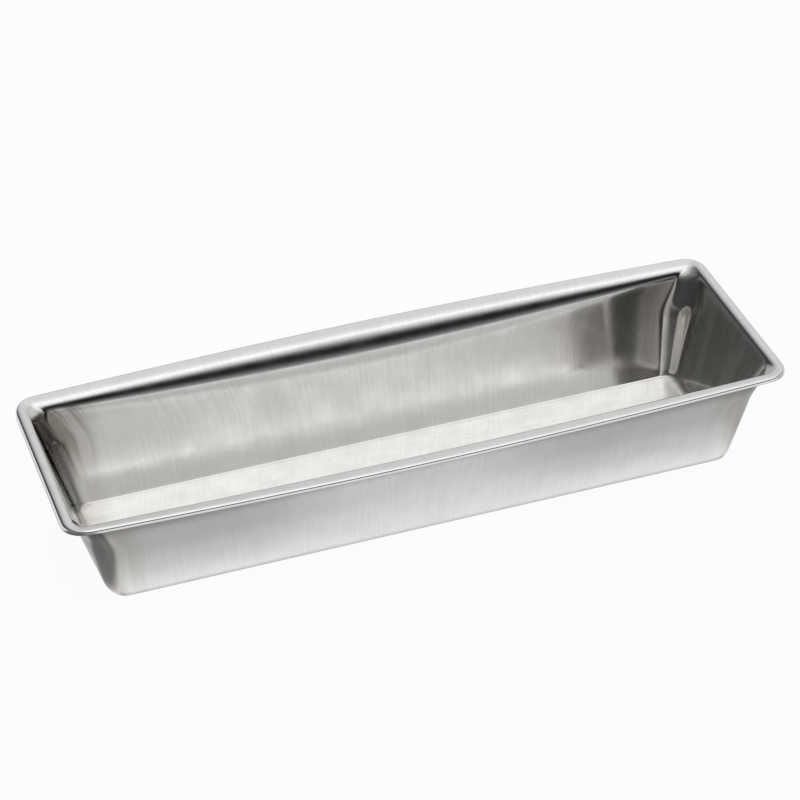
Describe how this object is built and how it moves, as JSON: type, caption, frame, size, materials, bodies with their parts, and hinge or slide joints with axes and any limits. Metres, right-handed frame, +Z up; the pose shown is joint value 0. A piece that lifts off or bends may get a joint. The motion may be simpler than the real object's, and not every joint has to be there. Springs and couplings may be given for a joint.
{
  "type": "mini loaf tart mould",
  "caption": "Small oblong baking mould drawn from one sheet of tinplate, with a flat floor, tapered walls, rounded lower corners and a flared, turned-down rim.",
  "frame": {"origin": "centre of the underside of the floor, on the surface the mould stands on", "axes": "+X along the length, +Y across the width, +Z up"},
  "size_m": [0.1, 0.0348, 0.016],
  "materials": {
    "tinplate": "bright tin coating, satin, with fine draw marks up the walls"
  },
  "bodies": {
    "root": {"mould_shell": "tinplate"}
  },
  "joints": []
}
